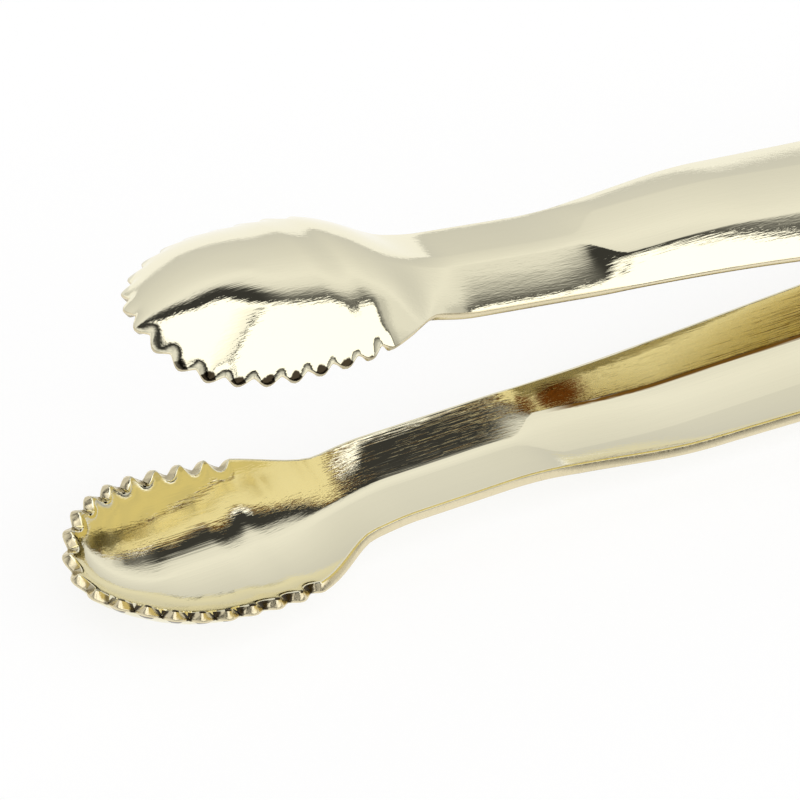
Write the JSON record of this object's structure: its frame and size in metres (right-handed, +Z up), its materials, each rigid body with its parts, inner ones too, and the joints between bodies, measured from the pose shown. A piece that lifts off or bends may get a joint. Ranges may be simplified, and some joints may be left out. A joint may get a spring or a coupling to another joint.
{
  "type": "sugar tongs",
  "caption": "Spring-loaded sugar tongs: two mirror-polished gold sheet-metal arms with scalloped bowls, riveted together at the handle end",
  "frame": {"origin": "on the flat underside of the lower arm's hinge end, which stands on z = 0 4 mm in front of the rivet's axis, at the middle of the arm's width", "axes": "+X runs from the bowls to the hinge along the lower arm, +Y goes across the arms along the pivot, +Z goes up towards the upper arm"},
  "size_m": [0.1262, 0.0146, 0.0286],
  "materials": {
    "arm_gold": "mirror-polished pale gold plating on stainless steel sheet",
    "rivet_gold": "polished pale gold plating on a steel rivet",
    "spring_steel": "drawn stainless spring wire"
  },
  "bodies": {
    "lower": {"lower_arm": "arm_gold", "pivot_rivet": "rivet_gold", "torsion_spring": "spring_steel"},
    "upper": {"upper_arm": "arm_gold"}
  },
  "joints": [
    {"name": "squeeze", "type": "hinge", "parent": "lower", "child": "upper", "pos_m": [0.004, 0, 0.0044], "axis": [0, -1, 0], "range_deg": [0, 9.2], "stiffness_Nm_per_rad": 0.5, "springref_deg": -4.58, "deforming": ["torsion_spring"]}
  ]
}
